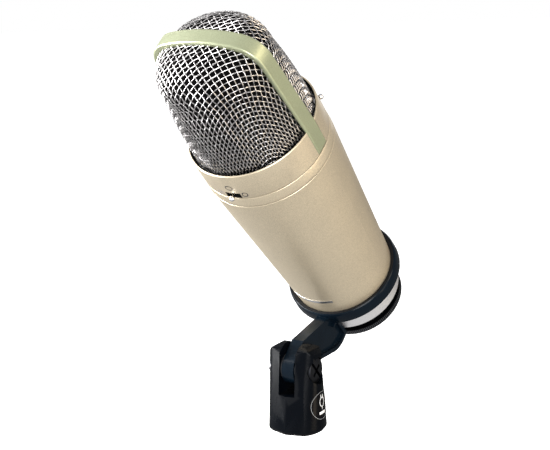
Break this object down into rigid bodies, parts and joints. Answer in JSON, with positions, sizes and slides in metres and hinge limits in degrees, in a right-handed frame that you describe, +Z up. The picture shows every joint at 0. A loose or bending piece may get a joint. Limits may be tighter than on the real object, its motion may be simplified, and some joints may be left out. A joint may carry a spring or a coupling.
{
  "type": "studio microphone",
  "caption": "Large side-address studio microphone with a woven-wire head and a metal band over it, tapered body and slide switches, held by its tail in a ring-shaped swivel stand adapter.",
  "frame": {"origin": "centre of the mouth of the stand thread, at the bottom of the swivel base", "axes": "+Z up the stand, X along the tilt pivot with the screw head at +X, the microphone leans forward towards -Y"},
  "size_m": [0.0564, 0.1432, 0.1809],
  "materials": {
    "champagne_paint": "satin metallic",
    "sage_paint": "satin metallic",
    "nickel_wire": "bright woven wire",
    "black_foam": "matte open-cell foam",
    "machined_brass": "turned",
    "zinc_insert": "turned",
    "gold_film": "gold-coated film",
    "small_screws": "zinc plated",
    "chassis_steel": "brushed",
    "black_plastic": "satin moulded",
    "inner_plastic": "moulded",
    "washer_plastic": "moulded",
    "black_screw": "black oxide",
    "black_rubber": "matte",
    "satin_nickel": "finely brushed",
    "black_metal": "black anodised",
    "chrome_lever": "polished",
    "contact_metal": "plated",
    "board_laminate": "solder mask",
    "component_cases": "moulded",
    "transistor_case": "tinned",
    "transformer_can": "lacquered",
    "plate_silver": "silvered label",
    "label_black": "glossy label"
  },
  "bodies": {
    "base": {"base_clevis": "black_plastic", "thread_insert": "zinc_insert", "side_label": "label_black", "pivot_screw": "black_screw", "pivot_nut": "small_screws", "friction_washers": "washer_plastic"},
    "adapter": {"adapter_arm": "black_plastic", "ring_pad": "black_rubber"},
    "pattern_switch": {"pattern_switch_lever": "chrome_lever"},
    "pad_switch": {"pad_switch_lever": "chrome_lever"},
    "bass_cut_switch": {"bass_cut_switch_lever": "chrome_lever"},
    "sleeve": {"clamp_sleeve": "satin_nickel"},
    "nut": {"retaining_nut": "black_metal"},
    "microphone": {"head_collar": "champagne_paint", "lower_collar": "champagne_paint", "body_tube": "champagne_paint", "grille_band": "sage_paint", "front_grille": "nickel_wire", "rear_grille": "nickel_wire", "grille_ring": "nickel_wire", "front_foam_liner": "black_foam", "rear_foam_liner": "black_foam", "front_backplate": "machined_brass", "rear_backplate": "machined_brass", "front_clamp_ring": "machined_brass", "rear_clamp_ring": "machined_brass", "front_diaphragm": "gold_film", "rear_diaphragm": "gold_film", "capsule_screws": "small_screws", "chassis_screws": "small_screws", "board_screws": "small_screws", "head_plate": "chassis_steel", "left_rail": "chassis_steel", "right_rail": "chassis_steel", "capsule_insulator": "inner_plastic", "capsule_yoke": "inner_plastic", "xlr_insulator": "inner_plastic", "pattern_switch_case": "inner_plastic", "pad_switch_case": "inner_plastic", "bass_cut_switch_case": "inner_plastic", "capsule_rubber_mount": "black_rubber", "tail_stub": "satin_nickel", "xlr_shell": "satin_nickel", "xlr_pins": "contact_metal", "capsule_wires": "contact_metal", "main_board": "board_laminate", "pattern_switch_board": "board_laminate", "pad_switch_board": "board_laminate", "bass_cut_switch_board": "board_laminate", "film_capacitors": "component_cases", "electrolytic_capacitors": "component_cases", "resistors": "component_cases", "input_transistor": "transistor_case", "output_transformer": "transformer_can", "serial_plate": "plate_silver"}
  },
  "joints": [
    {"name": "tilt", "type": "hinge", "parent": "base", "child": "adapter", "pos_m": [0, 0, 0.0274], "axis": [1, 0, 0], "range_deg": [-40, 135]},
    {"name": "mic_turn", "type": "hinge", "parent": "adapter", "child": "microphone", "pos_m": [0, -0.01739, 0.12742], "axis": [0, -0.6769, 0.7361], "continuous": true},
    {"name": "pattern_slide", "type": "slide", "parent": "microphone", "child": "pattern_switch", "axis": [0.999, -0.0321, -0.0295], "range_m": [-0.0021, 0.0021]},
    {"name": "pad_slide", "type": "slide", "parent": "microphone", "child": "pad_switch", "axis": [-0.8339, 0.4063, 0.3736], "range_m": [0, 0.0024]},
    {"name": "bass_cut_slide", "type": "slide", "parent": "microphone", "child": "bass_cut_switch", "axis": [-0.8788, -0.3512, -0.323], "range_m": [-0.0024, 0]},
    {"name": "sleeve_slide", "type": "slide", "parent": "microphone", "child": "sleeve", "axis": [0, 0.6769, -0.7361], "range_m": [0, 0.005]},
    {"name": "nut_turn", "type": "hinge", "parent": "sleeve", "child": "nut", "pos_m": [0, 0.05368, 0.05013], "axis": [0, 0.6769, -0.7361], "range_deg": [0, 1800]}
  ],
  "couplings": [
    {"joint": "sleeve_slide", "follows": "nut_turn", "m_per_rad": 0.00015915}
  ]
}
